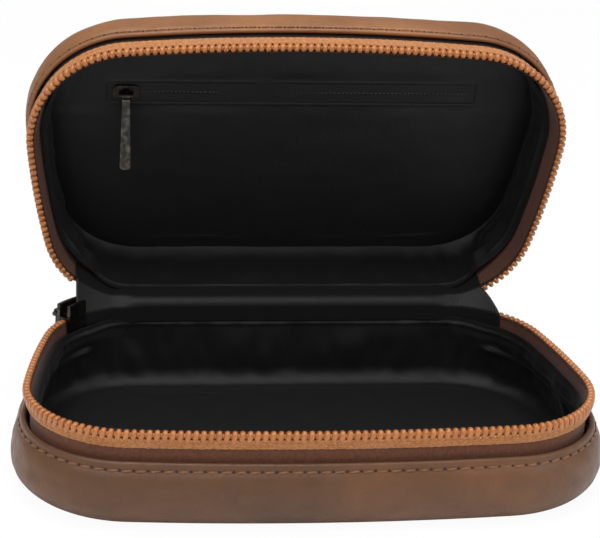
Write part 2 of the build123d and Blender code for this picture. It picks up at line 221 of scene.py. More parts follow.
def ripple(point, size, seed=0.0):
    """Smooth noise between -1 and 1 with bumps about this size."""
    return noise.noise(Vector(point) / size + Vector((seed, seed * 1.7, seed * 0.3)))


def axes_at(first, second, third, place):
    """A matrix that turns x, y and z to three directions and moves the origin to a place."""
    return Matrix((
        (first.x, second.x, third.x, place.x),
        (first.y, second.y, third.y, place.y),
        (first.z, second.z, third.z, place.z),
        (0, 0, 0, 1),
    ))


# Making pieces

weld_distance = 1e-4


def mapped_sheet(shape, columns, rows, closed=False):
    """A grid bent into shape(u, v), with u and v kept as its UV map."""
    mesh = bmesh.new()
    bmesh.ops.create_grid(mesh, x_segments=columns, y_segments=rows, size=0.5)
    layer = mesh.loops.layers.uv.new("UVMap")
    for face in mesh.faces:
        for loop in face.loops:
            loop[layer].uv = (loop.vert.co.x + 0.5, loop.vert.co.y + 0.5)
    for vert in mesh.verts:
        vert.co = shape(vert.co.x + 0.5, vert.co.y + 0.5)
    if closed:
        bmesh.ops.remove_doubles(mesh, verts=mesh.verts, dist=weld_distance)
    return mesh


def make_piece(name, mesh, place, material):
    """Turn a bmesh in millimetres into a piece in metres, in its half's place."""
    mesh.transform(place)
    mesh.transform(Matrix.Scale(MM, 4))
    data = bpy.data.meshes.new(name)
    mesh.to_mesh(data)
    mesh.free()
    piece = bpy.data.objects.new(name, data)
    bpy.context.scene.collection.objects.link(piece)
    data.materials.append(material)
    data.polygons.foreach_set("use_smooth", [True] * len(data.polygons))
    return piece


def thicken(piece, thickness, offset=-1.0):
    """Give a sheet its thickness in millimetres, on its back (-1) or its face (1)."""
    wall = piece.modifiers.new("thickness", "SOLIDIFY")
    wall.thickness = thickness * MM
    wall.offset = offset
    return piece


def keep(piece, body, slot, *nodes):
    """Ride on a body and stand for the nodes that it replaces; the slot is not used."""
    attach(piece, body)
    if nodes:
        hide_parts(*nodes)
    return piece


# Shader groups shared by the materials


def new_group(name, inputs, outputs):
    """An empty node group with these sockets: (name, kind, default)."""
    group = bpy.data.node_groups.new(name, "ShaderNodeTree")
    for label, kind, default in inputs:
        socket = group.interface.new_socket(name=label, in_out="INPUT", socket_type=kind)
        socket.default_value = default
    for label, kind in outputs:
        group.interface.new_socket(name=label, in_out="OUTPUT", socket_type=kind)
    return group, group.nodes.new("NodeGroupInput"), group.nodes.new("NodeGroupOutput")


def mixed(nodes, links, factor, first, second):
    """A colour mix of two colours or sockets."""
    mix = nodes.new("ShaderNodeMix")
    mix.data_type = "RGBA"
    for socket, value in ((mix.inputs[0], factor), (mix.inputs[6], first), (mix.inputs[7], second)):
        if isinstance(value, bpy.types.NodeSocket):
            links.new(value, socket)
        else:
            socket.default_value = value
    return mix.outputs[2]


def ranged(nodes, links, source, low, high, to_low, to_high):
    """A number moved from one range to another, and kept inside it."""
    span = nodes.new("ShaderNodeMapRange")
    span.inputs["From Min"].default_value = low
    span.inputs["From Max"].default_value = high
    span.inputs["To Min"].default_value = to_low
    span.inputs["To Max"].default_value = to_high
    links.new(source, span.inputs["Value"])
    return span.outputs["Result"]


def noise_at(nodes, links, place, scale, detail, roughness):
    """Noise texture read at a place."""
    texture = nodes.new("ShaderNodeTexNoise")
    texture.inputs["Scale"].default_value = scale
    texture.inputs["Detail"].default_value = detail
    texture.inputs["Roughness"].default_value = roughness
    links.new(place, texture.inputs["Vector"])
    return texture.outputs["Fac"]


def leather_grain_group():
    """Fine pebbled grain, creases and blotches for leather."""
    group, inside, outside = new_group(
        "leather_grain",
        [
            ("Place", "NodeSocketVector", (0, 0, 0)),
            ("Light", "NodeSocketColor", (0.5, 0.3, 0.15, 1)),
            ("Dark", "NodeSocketColor", (0.3, 0.15, 0.08, 1)),
        ],
        [
            ("Color", "NodeSocketColor"),
            ("Roughness", "NodeSocketFloat"),
            ("Height", "NodeSocketFloat"),
        ],
    )
    nodes, links = group.nodes, group.links
    place = inside.outputs["Place"]
    blotch = noise_at(nodes, links, place, 22.0, 4.0, 0.55)
    streak = noise_at(nodes, links, place, 160.0, 3.0, 0.6)
    pores = nodes.new("ShaderNodeTexVoronoi")
    pores.inputs["Scale"].default_value = 1300.0
    links.new(place, pores.inputs["Vector"])
    creases = nodes.new("ShaderNodeTexVoronoi")
    creases.feature = "DISTANCE_TO_EDGE"
    creases.inputs["Scale"].default_value = 620.0
    links.new(place, creases.inputs["Vector"])
    tone = ranged(nodes, links, blotch, 0.3, 0.7, 0.0, 1.0)
    base = mixed(nodes, links, tone, inside.outputs["Dark"], inside.outputs["Light"])
    fleck = ranged(nodes, links, streak, 0.35, 0.75, 0.0, 0.35)
    darker = mixed(nodes, links, fleck, base, inside.outputs["Dark"])
    crease = ranged(nodes, links, creases.outputs["Distance"], 0.0, 0.12, 0.0, 1.0)
    links.new(darker, outside.inputs["Color"])
    links.new(ranged(nodes, links, streak, 0.3, 0.7, 0.34, 0.52), outside.inputs["Roughness"])
    pore = ranged(nodes, links, pores.outputs["Distance"], 0.0, 0.7, 1.0, 0.4)
    height = nodes.new("ShaderNodeMath")
    height.operation = "MULTIPLY"
    links.new(pore, height.inputs[0])
    links.new(crease, height.inputs[1])
    links.new(height.outputs[0], outside.inputs["Height"])
    return group


def weave_group():
    """Crossed threads and fuzz for cloth, tape and thread, laid on a piece's own place."""
    group, inside, outside = new_group(
        "weave",
        [("Place", "NodeSocketVector", (0, 0, 0)), ("Warp", "NodeSocketFloat", 400.0),
         ("Weft", "NodeSocketFloat", 400.0)],
        [("Thread", "NodeSocketFloat"), ("Fuzz", "NodeSocketFloat")],
    )
    nodes, links = group.nodes, group.links
    split = nodes.new("ShaderNodeSeparateXYZ")
    links.new(inside.outputs["Place"], split.inputs[0])
    waves = []
    for axis, count in (("X", "Warp"), ("Y", "Weft")):
        turn = nodes.new("ShaderNodeMath")
        turn.operation = "MULTIPLY"
        links.new(split.outputs[axis], turn.inputs[0])
        links.new(inside.outputs[count], turn.inputs[1])
        wave = nodes.new("ShaderNodeMath")
        wave.operation = "SINE"
        links.new(turn.outputs[0], wave.inputs[0])
        waves.append(wave.outputs[0])
    cross = nodes.new("ShaderNodeMath")
    cross.operation = "MULTIPLY"
    links.new(waves[0], cross.inputs[0])
    links.new(waves[1], cross.inputs[1])
    links.new(ranged(nodes, links, cross.outputs[0], -1, 1, 0, 1), outside.inputs["Thread"])
    fuzz = noise_at(nodes, links, inside.outputs["Place"], 900.0, 2.0, 0.6)
    links.new(fuzz, outside.inputs["Fuzz"])
    return group


leather_grain = leather_grain_group()
weave = weave_group()


def new_material(name, roughness=0.5, metallic=0.0, sheen=0.0, coat=0.0, specular=0.5):
    """A material with plain values on its Principled shader."""
    material = bpy.data.materials.new(name)
    material.use_nodes = True
    shader = material.node_tree.nodes["Principled BSDF"]
    shader.inputs["Roughness"].default_value = roughness
    shader.inputs["Metallic"].default_value = metallic
    shader.inputs["Sheen Weight"].default_value = sheen
    shader.inputs["Coat Weight"].default_value = coat
    shader.inputs["Specular IOR Level"].default_value = specular
    return material, shader


def object_place(material):
    """Object coordinates, which are metres in the bag's own frame."""
    return material.node_tree.nodes.new("ShaderNodeTexCoord").outputs["Object"]


def bumped(material, shader, height, distance, strength):
    """Feed a height into the shader's normal through a Bump node."""
    bump = material.node_tree.nodes.new("ShaderNodeBump")
    bump.inputs["Distance"].default_value = distance
    bump.inputs["Strength"].default_value = strength
    material.node_tree.links.new(height, bump.inputs["Height"])
    material.node_tree.links.new(bump.outputs["Normal"], shader.inputs["Normal"])


def linear(red, green, blue):
    """A colour of 0 to 255 steps as the shader's linear colour."""
    steps = (red, green, blue)
    return tuple(((c / 255 + 0.055) / 1.055) ** 2.4 if c > 10 else c / 3294 for c in steps) + (1.0,)


def leather_material(name, light, dark):
    """Leather with grain, between a light and a dark tone."""
    material, shader = new_material(name, specular=0.42)
    nodes, links = material.node_tree.nodes, material.node_tree.links
    grain = nodes.new("ShaderNodeGroup")
    grain.node_tree = leather_grain
    grain.inputs["Light"].default_value = light
    grain.inputs["Dark"].default_value = dark
    links.new(object_place(material), grain.inputs["Place"])
    links.new(grain.outputs["Color"], shader.inputs["Base Color"])
    links.new(grain.outputs["Roughness"], shader.inputs["Roughness"])
    bumped(material, shader, grain.outputs["Height"], 0.00012, 0.5)
    return material


def cloth_material(name, colour, light, threads, roughness, sheen, specular=0.35):
    """Woven cloth between two tones, with this many radians of thread to the metre."""
    material, shader = new_material(name, roughness=roughness, sheen=sheen, specular=specular)
    nodes, links = material.node_tree.nodes, material.node_tree.links
    shader.inputs["Sheen Roughness"].default_value = 0.4
    cloth = nodes.new("ShaderNodeGroup")
    cloth.node_tree = weave
    cloth.inputs["Warp"].default_value = threads
    cloth.inputs["Weft"].default_value = threads
    links.new(object_place(material), cloth.inputs["Place"])
    fuzz = ranged(nodes, links, cloth.outputs["Fuzz"], 0.3, 0.7, 0.0, 1.0)
    links.new(mixed(nodes, links, fuzz, colour, light), shader.inputs["Base Color"])
    bumped(material, shader, cloth.outputs["Thread"], 0.0001, 0.6)
    return material


def coil_material(name, colour, shade):
    """Dyed nylon filament: glossy, darker between its turns."""
    material, shader = new_material(name, roughness=0.3, coat=0.25, specular=0.5)
    nodes, links = material.node_tree.nodes, material.node_tree.links
    streak = noise_at(nodes, links, object_place(material), 260.0, 2.0, 0.5)
    tone = ranged(nodes, links, streak, 0.35, 0.65, 0.0, 1.0)
    links.new(mixed(nodes, links, tone, shade, colour), shader.inputs["Base Color"])
    bumped(material, shader, streak, 0.00005, 0.3)
    return material


def metal_material(name, colour, wear_and_highlight):
    """Blackened metal with brighter patches, partly rubbed wear and partly painted highlight."""
    material, shader = new_material(name, roughness=0.36, metallic=1.0)
    nodes, links = material.node_tree.nodes, material.node_tree.links
    wear_and_highlight_mask = noise_at(nodes, links, object_place(material), 420.0, 4.0, 0.6)
    tone = ranged(nodes, links, wear_and_highlight_mask, 0.45, 0.7, 0.0, 1.0)
    links.new(mixed(nodes, links, tone, colour, wear_and_highlight), shader.inputs["Base Color"])
    links.new(ranged(nodes, links, wear_and_highlight_mask, 0.3, 0.7, 0.42, 0.26), shader.inputs["Roughness"])
    bumped(material, shader, wear_and_highlight_mask, 0.00003, 0.3)
    return material


# Both halves are one leather: the tray's copy is darker than the lid's, painted shade of the lower
# half
tray_leather_painted_shade = leather_material("tray_leather_painted_shade", linear(108, 70, 41), linear(73, 48, 31))
lid_leather = leather_material("lid_leather", linear(145, 97, 58), linear(112, 71, 43))
lining_cloth = cloth_material(
    "black_lining", linear(11, 11, 13), linear(16, 16, 18), 9000, 0.5, 0.04, 0.3
)
# Zip tape: a maroon-brown, partly the tape's own rust-brown and partly painted shade of its recess
# under the hem
tape_with_painted_shade = cloth_material(
    "zip_tape", linear(92, 56, 40), linear(112, 70, 50), 5200, 0.85, 0.2
)
# The lid's tape band: a much darker copy of the same tape, painted shade of the lid's recess
lid_tape_painted_shade = cloth_material(
    "lid_zip_tape", linear(50, 31, 24), linear(62, 39, 30), 5200, 0.85, 0.1
)
# The tape's inner ply: a darker copy of the tape, painted shade of the inside of the mouth
facing_painted_shade = cloth_material(
    "zip_tape_facing", linear(74, 46, 38), linear(90, 56, 44), 5200, 0.85, 0.1
)
beading_cloth = cloth_material(
    "coil_sewing", linear(158, 100, 56), linear(186, 126, 74), 9000, 0.8, 0.3
)
thread_cloth = cloth_material(
    "hem_thread", linear(108, 70, 44), linear(132, 90, 58), 12000, 0.7, 0.2
)
coil_nylon = coil_material("coil_nylon", linear(176, 109, 56), linear(160, 96, 47))
dark_nylon = coil_material("dark_coil_nylon", linear(52, 52, 54), linear(36, 36, 38))
# Gunmetal's brighter patches: partly wear, partly painted highlight of a bronze sheen
gunmetal = metal_material("gunmetal", linear(54, 52, 50), linear(92, 86, 78))
padding_foam = cloth_material(
    "padding_foam", linear(190, 188, 180), linear(215, 213, 206), 700, 0.9, 0.1
)
grey_board = cloth_material(
    "grey_board", linear(150, 140, 120), linear(172, 160, 138), 300, 0.9, 0.0
)
# Dark dots for the needle holes: the dark of each hole is painted shade
painted_shade_hole = cloth_material(
    "painted_shade_hole", linear(54, 33, 21), linear(62, 39, 25), 900, 0.9, 0.0
)


# Leather: one soft shell for each half, from the panel's middle to the turned end of its hem

hem_inside = 6.0
hem_depth = 2 * leather - 0.15
back_top = half_height - hinge_leg + 1.5
hem_turn = 60.0
hem_climb = 9.0
leather_grid = (360, 84)

# Shares of the sheet's rows that end the panel, its rounded edge, the wall and the hem's roll
panel_share = 0.34
round_share = 0.56
wall_share = 0.86
roll_share = 0.6

# Soft swells of the panel and the wall: height and size of a bump
panel_middle = Vector((0, -1.5, 0))
panel_swell, panel_swell_size = 0.35, 34
wall_swell, wall_swell_size = 0.5, 26
wall_crease, wall_crease_size = 0.22, 9
back_ease = 0.25

# The stitches lie below the hem and pull the leather in
stitch_drop = 1.3
stitch_pull, stitch_pull_reach = 0.35, 1.1


def ring(half, share, height, depth):
    """A point and its normal, this share of the way round, on the surface at a depth."""
    growth, back = half.skin(height, depth)
    point, normal = rim_place(share * half_length(growth, back), growth, back)
    return Vector((point.x, point.y, height)), Vector((normal.x, normal.y, 0))


def hem_height_at(half, distance):
    """The hem runs level round the front and sides and climbs to the hinge across the back."""
    seam = half_length(turn=hem_turn)
    climb = smooth_step(seam, seam + hem_climb, abs(distance))
    return half.hem_level + (back_top - half.hem_level) * climb


def panel_point(half, share, spread, crown):
    """The crowned panel, from its middle (spread 0) to its rim (1)."""
    point = panel_middle.lerp(ring(half, share, 0.0, 0.0)[0], spread)
    swell = panel_swell * ripple((point.x, point.y, 0), panel_swell_size, half.seed)
    rise = crown * (1 - spread**2) + swell * (1 - spread**4)
    return point - Vector((0, 0, rise if crown else 0.0))


def wall_point(half, share, height, top):
    """The soft wall at a height, pinched by the stitches below its top."""
    point, normal = ring(half, share, height, 0.0)
    lift = smooth_step(1.0, 8.0, height) * smooth_step(top + 1, top - 4, height)
    wave = wall_swell * ripple((point.x, point.y, height * 1.6), wall_swell_size, half.seed)
    wave += wall_crease * ripple((point.x, point.y, height * 2.5), wall_crease_size, half.seed + 4)
    pinch = stitch_pull * ridge(height, top - stitch_drop, stitch_pull_reach)
    return point + Vector((normal.x, min(normal.y, back_ease), 0)) * (wave * lift - pinch)


def hem_point(half, share, top, along):
    """The hem, rolled over the top (along 0 to roll_share) and turned down inside."""
    if along >= roll_share:
        down = (along - roll_share) / (1 - roll_share) * hem_inside
        return ring(half, share, top - down, hem_depth)[0]
    outer = ring(half, share, top, 0.0)[0]
    inner = ring(half, share, top, hem_depth)[0]
    middle = (outer + inner) / 2
    out = outer - middle
    turn = along / roll_share * pi
    return middle + out * cos(turn) + Vector((0, 0, out.length * sin(turn)))


def leather_shape(half, crown):
    """The shape of one half's leather for mapped_sheet."""

    def shape(u, v):
        share = 2 * u - 1
        top = hem_height_at(half, share * half_length())
        if v < panel_share:
            return panel_point(half, share, v / panel_share, crown)
        if v > wall_share:
            return hem_point(half, share, top, (v - wall_share) / (1 - wall_share))
        if v < round_share:
            turn = (v - panel_share) / (round_share - panel_share) * pi / 2
            return wall_point(half, share, half.edge_round * (1 - cos(turn)), top)
        climb = (top - half.edge_round) * (v - round_share) / (wall_share - round_share)
        return wall_point(half, share, half.edge_round + climb, top)

    return shape


def leather_half(half, crown, material):
    """Make one half's leather."""
    mesh = mapped_sheet(leather_shape(half, crown), *leather_grid, closed=True)
    piece = make_piece(half.body + "_leather_shell", mesh, half.place, material)
    nodes = (f"{half.body}_{part}" for part in ("wall", "panel", "back_wall"))
    keep(piece, half.body, "tan_leather", *nodes)


leather_half(tray, 0.0, tray_leather_painted_shade)
leather_half(lid, 1.6, lid_leather)

# Padding stands between the leather and the lining, seen only if the lining is lifted
foam_depth = leather + 0.6
foam_foot = 3.0
foam_height = hem_top - 12.0
foam_thick = 1.2


def padding_shape(half):
    """A soft wall of padding from the panel's edge up to the hem."""

    def shape(u, v):
        return ring(half, 2 * u - 1, foam_foot + foam_height * v, foam_depth)[0]

    return shape


for half in (tray, lid):
    foam_sheet = mapped_sheet(padding_shape(half), 180, 8)
    foam = make_piece(half.body + "_padding_wall", foam_sheet, half.place, padding_foam)
    thicken(foam, foam_thick)
    keep(foam, half.body, "padding", half.body + "_padding")


# Hem stitches, sunk into the leather, with a dark dot of painted shade for the needle hole between
# each two

stitch_size = Matrix.Diagonal((1.6, 0.34 * 1.15, 0.34, 1))
stitch_sink = 0.22
stitch_slant = 0.10
slant_change = 0.05
stitch_last_turn = 47
hole_size = Matrix.Diagonal((0.55, 0.45, 0.14, 1))
hole_lift = 0.02
bead_grid = {"u_segments": 10, "v_segments": 6, "radius": 1}


def hem_stitches(half):
    """Slightly slanted stitches round one hem."""
    height = half.hem_level - stitch_drop
    growth, back = half.skin(height, 0.0)
    slope = asin((height - half.edge_round) / half.upper_round)
    count = int(half_length(turn=stitch_last_turn) / stitch_pitch)
    lay_flat = Matrix.Rotation(pi / 2, 4, "Y")
    mesh = bmesh.new()
    holes = bmesh.new()
    for index in range(-count, count + 1):
        point, normal = rim_place(index * stitch_pitch, growth, back)
        out = Vector((normal.x * cos(slope), normal.y * cos(slope), sin(slope)))
        way = Vector((-normal.y, normal.x, 0))
        slant = stitch_slant + slant_change * ripple((index, 0, 0), 1.7, 3)
        way = (way * cos(slant) + out.cross(way) * sin(slant)).normalized()
        place = Vector((point.x, point.y, height)) - out * stitch_sink
        turned = axes_at(way, out.cross(way), out, place)
        bmesh.ops.create_uvsphere(mesh, matrix=turned @ stitch_size @ lay_flat, **bead_grid)
        hole = Matrix.Translation(way * stitch_pitch / 2 + out * hole_lift)
        bmesh.ops.create_uvsphere(holes, matrix=hole @ turned @ hole_size, **bead_grid)
    thread = make_piece(half.body + "_hem_stitches", mesh, half.place, thread_cloth)
    keep(thread, half.body, "tan_thread", half.body + "_stitching")
    pricks = make_piece(half.body + "_needle_holes", holes, half.place, painted_shade_hole)
    keep(pricks, half.body, "tan_leather")


hem_stitches(tray)
hem_stitches(lid)


# Zip tape, its coil and the sewing that holds the coil

tape_face = tray.skin(hem_top, tape_depth)[0]
tape_back = tray.skin(hem_top, tape_depth + tape)[0]
tape_top = half_height - tape_drop
tape_foot = hem_top - 4.0
tape_wave, tape_wave_size = 0.12, 14
ply_thick = 0.35
ply_grid = (420, 12)
coil_foot = half_height - 4.7

# The tape leans in below its upright top, and more so from lean_start to lean_full round the mouth
upright_top = 2.0
lean_start = 78.0
lean_full = 112.0
end_share = 0.05


def zip_reach(half):
    """How far the zip runs to the left and right of the front centre."""
    return -half_length(turn=half.zip_ends[0]), half_length(turn=half.zip_ends[1])


def tape_lean(flare, height, distance):
    """How far the tape leans inwards at this height: least at the front, most along the sides."""
    most = front_flare + (flare - front_flare) * smooth_step(lean_start, lean_full, abs(distance))
    return most * min(1.0, max(0.0, (tape_top - upright_top - height) / (tape_top - tape_foot)))


def zip_tape(half, part, flare, finish, *nodes):
    """One ply of the woven band round the mouth, between the two zip ends."""
    left, right = zip_reach(half)

    def shape(u, v):
        distance = left + (right - left) * u
        point, normal = rim_place(distance, tape_face, rim_back + tape_face)
        height = tape_foot + (tape_top - tape_foot) * v
        end_fade = smooth_step(0, end_share, u) * smooth_step(1, 1 - end_share, u)
        wave = tape_wave * ripple((point.x, point.y, height), tape_wave_size, 2)
        lean = tape_lean(flare, height, distance) if flare else 0.0
        out = wave * smooth_step(0, 0.5, v) - lean * end_fade
        return Vector((point.x + normal.x * out, point.y + normal.y * out, height))

    sheet = mapped_sheet(shape, *ply_grid)
    piece = make_piece(f"{half.body}_zip_tape_{part}", sheet, half.place, finish)
    thicken(piece, ply_thick)
    keep(piece, half.body, "tan_tape", *nodes)


def tube_along(name, points, radius, place, material):
    """A round strand along points, as a mesh."""
    curve = bpy.data.curves.new(name, "CURVE")
    curve.dimensions = "3D"
    curve.bevel_depth = radius
    curve.bevel_resolution = 1
    curve.use_fill_caps = True
    spline = curve.splines.new("POLY")
    spline.points.add(len(points) - 1)
    for target, point in zip(spline.points, points):
        target.co = (*point, 1)
    holder = bpy.data.objects.new(name + "_curve", curve)
    bpy.context.scene.collection.objects.link(holder)
    bpy.context.view_layer.update()
    data = bpy.data.meshes.new_from_object(holder)
    bpy.data.objects.remove(holder)
    bpy.data.curves.remove(curve)
    mesh = bmesh.new()
    mesh.from_mesh(data)
    bpy.data.meshes.remove(data)
    return make_piece(name, mesh, place, material)


kernel_size = (2.1, 2.9, 4.0)
kernel_top = half_height - 0.42
kernel_out = tape_face + kernel_size[1] / 2 - 0.25
kernel_lean = 0.14
kernel_blunt = 0.72
core_radius = 0.85
core_inset = 0.25


def zip_coil(half, shift):
    """The filament's turns: a row of fat rounded kernels, and a core that fills their gaps."""
    left, right = zip_reach(half)
    first = ceil((left + tooth_pitch) / tooth_pitch - shift)
    last = int((right - tooth_pitch) / tooth_pitch - shift)
    middle = kernel_top - kernel_size[2] / 2
    size = Matrix.Diagonal((kernel_size[0] / 2, kernel_size[1] / 2, kernel_size[2] / 2, 1))
    mesh = bmesh.new()
    core = []
    for index in range(first, last + 1):
        point, normal = rim_place((index + shift) * tooth_pitch)
        out = Vector((normal.x, normal.y, 0))
        along = Vector((-normal.y, normal.x, 0))
        up = Vector((0, 0, 1)) * cos(kernel_lean) + along * sin(kernel_lean)
        place = Vector((point.x, point.y, middle)) + out * kernel_out
        turned = axes_at(along, out, up, place)
        made = bmesh.ops.create_uvsphere(mesh, u_segments=12, v_segments=8, radius=1)
        for vert in made["verts"]:
            blunt = Vector(copysign(abs(c) ** kernel_blunt, c) for c in vert.co)
            vert.co = turned @ size @ blunt
        core.append(place - out * core_inset)
    piece = make_piece(half.body + "_coil", mesh, half.place, coil_nylon)
    keep(piece, half.body, "orange_coil", half.body + "_zip_coil")
    filling = tube_along(half.body + "_coil_core", core, core_radius, half.place, beading_cloth)
    keep(filling, half.body, "tan_tape")


# Cords of the sewing: name, lift over the coil's foot, radius, stand-off from the tape, twist
sewing_rows = [
    ("bead", 0.75, 0.5, 1.75, 0.22),
    ("cord", -0.05, 0.55, 1.45, 0.10),
    ("rim", -0.85, 0.55, 1.25, 0.10),
    ("fold", -1.6, 0.55, 0.95, 0.10),
    ("edge", -2.2, 0.45, 0.35, 0.06),
]
selvedge_rows = [(f"selvedge_{row}", -3.1 - 0.7 * row, 0.5, 0.2, 0.06) for row in range(1, 5)]
steps_a_twist = 6
cord_wobble, cord_wobble_size = 0.12, 3


def sewing_cord(half, part, lift, radius, out, twist):
    """One fuzzy cord along the coil's foot, on the tape's outer face, twisting once a tooth."""
    left, right = zip_reach(half)
    steps = int((right - left) / tooth_pitch) * steps_a_twist
    points = []
    for step in range(steps + 1):
        phase = 2 * pi * step / steps_a_twist
        point, normal = rim_place(left + (right - left) * step / steps)
        point = point + normal * (tape_face + out + twist * cos(phase))
        wobble = cord_wobble * ripple((point.x, point.y, 0), cord_wobble_size, 7)
        points.append(Vector((point.x, point.y, coil_foot + lift + twist * sin(phase) + wobble)))
    cord = tube_along(f"{half.body}_coil_{part}", points, radius, half.place, beading_cloth)
    keep(cord, half.body, "tan_tape")


# The lid's band takes the painted-shade copy of the tape
for half, shift, band_cloth, cords in (
    (tray, 0.0, tape_with_painted_shade, sewing_rows), (lid, 0.5, lid_tape_painted_shade, sewing_rows + selvedge_rows),
):
    zip_tape(half, "band", 0.0, band_cloth, half.body + "_zip_tape")
    zip_tape(half, "facing", half.flare, facing_painted_shade)
    zip_coil(half, shift)
    for cord in cords:
        sewing_cord(half, *cord)


# Linings: soft black cloth with folds, seams on the floor and a stitched top edge

floor_share = 0.42
floor_middle = Vector((0, -1.0, 0))
lining_turn = 52.0
lining_climb = 14.0
lining_back_top = half_height - hinge_leg + 1.0
lining_grid = (380, 96)
tape_clearance = 0.9
tape_margin = 0.25
fade_reach = 4

# Folds of the floor and the wall: lift, height and size of a bump, and how far they may sink
floor_lift = 0.35
floor_fold, floor_fold_size = 0.7, 30
floor_crease, floor_crease_size = 0.45, 11
floor_sink = -0.3
fold_lift = 0.6
fold_high, fold_size = 1.3, 15
crease_high, crease_size = 1.1, 9
fold_sink = -0.1

# Seams stand up as ridges: height, place and width. On the floor the place and width are shares
# of the way out, and on the wall they are millimetres under its edge.
floor_seams = ((0.8, 0.91, 0.016), (0.6, 0.955, 0.012))
wall_seams = ((0.35, 3.0, 0.6), (-0.2, 0.0, 0.7))


def lining_edge(half, distance):
    """The lining's edge runs level below the coil and climbs to the hinge at the back."""
    seam = half_length(turn=lining_turn)
    climb = smooth_step(seam, seam + lining_climb, abs(distance))
    return half.lining_top + (lining_back_top - half.lining_top) * climb


# Distances round the mouth: half way round the rear corner, and about where the zips end
seam_start = half_length(turn=45)
zip_corner = half_length(turn=58)


def before(end, distance):
    """1 up to this distance round the mouth and 0 beyond it, with a soft change."""
    return smooth_step(end + fade_reach, end - fade_reach, distance)


def lining_floor(half, share, spread, floor_level, slack):
    """The crumpled floor, from its middle (spread 0) to its rim (1), with seams near the rim."""
    rim = ring(half, share, floor_level, inside_depth)[0]
    point = (floor_middle + Vector((0, 0, floor_level))).lerp(rim, spread)
    rise = floor_fold * ripple((point.x, point.y, 0), floor_fold_size, half.seed)
    rise += floor_crease * ripple((point.x, point.y, 0), floor_crease_size, half.seed + 2)
    seams = sum(high * ridge(spread, place, width) for high, place, width in floor_seams)
    point.z = floor_level + floor_lift + max(floor_sink, slack * rise * (1 - spread**6)) + seams
    return point


def over_tape(half, height, distance, climb, inward):
    """How far in the lining stands, once it is moved to stay in front of the zip tape."""
    lean = tape_lean(half.flare, height, distance)
    clear = tape_clearance * before(zip_corner, distance) + lean * before(seam_start, distance)
    needed = half.skin(height, inside_depth)[0] - tape_back + lean + tape_margin
    needed *= smooth_step(tape_foot - 3.0, tape_foot, height) * before(zip_corner, distance)
    return max(inward + clear * smooth_step(0.0, 0.45, climb), needed)


def lining_wall(half, share, climb, height, top, slack):
    """The folded wall of the lining, with a stitched edge along its top."""
    point, normal = ring(half, share, height, inside_depth)
    middle = sin(pi * min(1.0, climb * 1.05)) ** 0.7 if climb < 0.95 else 0.15
    wide = (point.x * 1.3, point.y * 1.3, height * 0.5)
    fine = (point.x * 2.2, point.y * 2.2, height * 0.7)
    fold = fold_high * ripple(wide, fold_size, half.seed)
    fold += crease_high * ripple(fine, crease_size, half.seed + 5)
    seams = sum(high * ridge(top - height, place, width) for high, place, width in wall_seams)
    inward = max(fold_sink, fold_lift + slack * fold) * middle + seams
    return point - normal * over_tape(half, height, abs(share * half_length()), climb, inward)


def lining_shape(half, floor_level, slack):
    """The shape of one half's lining for mapped_sheet."""

    def shape(u, v):
        share = 2 * u - 1
        if v < floor_share:
            return lining_floor(half, share, v / floor_share, floor_level, slack)
        top = lining_edge(half, share * half_length())
        climb = (v - floor_share) / (1 - floor_share)
        height = floor_level + (top - floor_level) * climb
        return lining_wall(half, share, climb, height, top, slack)

    return shape


def lining_half(half, floor_level, slack, *nodes):
    """Make one half's lining."""
    mesh = mapped_sheet(lining_shape(half, floor_level, slack), *lining_grid, closed=True)
    piece = make_piece(half.body + "_lining", mesh, half.place, lining_cloth)
    keep(piece, half.body, "black_lining", *nodes)


lining_half(tray, inside_depth + layer_gap, 1.0, "base_lining_wall", "base_lining_floor")
lining_half(lid, panel_level - 0.4, 0.6, "lid_lining_wall")

# The lid's lining panel: a flat cloth with a turned-in slit over the pocket zip
pocket_v = rim_back - pocket_reach
slit_half = slit_width / 2
slit_depth = 1.3
panel_gap = 0.3
panel_front = ring(lid, 0.0, panel_level, inside_depth)[0].y + panel_gap
panel_back = rim_back - hinge_gap - inside_depth - panel_gap
panel_fold, panel_fold_size = 0.35, 28
panel_crease, panel_crease_size = 0.15, 10
panel_lift = 0.2
row_fade, column_fade = 0.05, 0.04
slit_edge = 0.15
slit_margin = 2.2
lip_height, lip_place, lip_width = 0.14, 0.8, 0.6


def panel_row(v):
    """Rows of the panel, drawn close on both sides of the slit's edges."""
    low_edge, high_edge = pocket_v - slit_half, pocket_v + slit_half
    stops = (
        (0.0, panel_front), (0.3, low_edge - slit_margin),
        (0.38, low_edge - slit_edge), (0.40, low_edge + slit_edge),
        (0.48, high_edge - slit_edge), (0.50, high_edge + slit_edge),
        (0.58, high_edge + slit_margin), (1.0, panel_back),
    )
    for (low, first), (high, last) in zip(stops, stops[1:]):
        if v <= high:
            return first + (last - first) * (v - low) / (high - low)
    return panel_back


def panel_half_width(y):
    """Half the width of the lid's inside at this distance from the hinge, at the panel's level."""
    growth, back = lid.skin(panel_level, inside_depth)
    for centre, radius, start, end in half_arcs(growth, back):
        low, high = centre.y + radius * sin(start), centre.y + radius * sin(end)
        if low <= y <= high:
            return centre.x + sqrt(max(0.0, radius**2 - (y - centre.y) ** 2))
    return centre.x


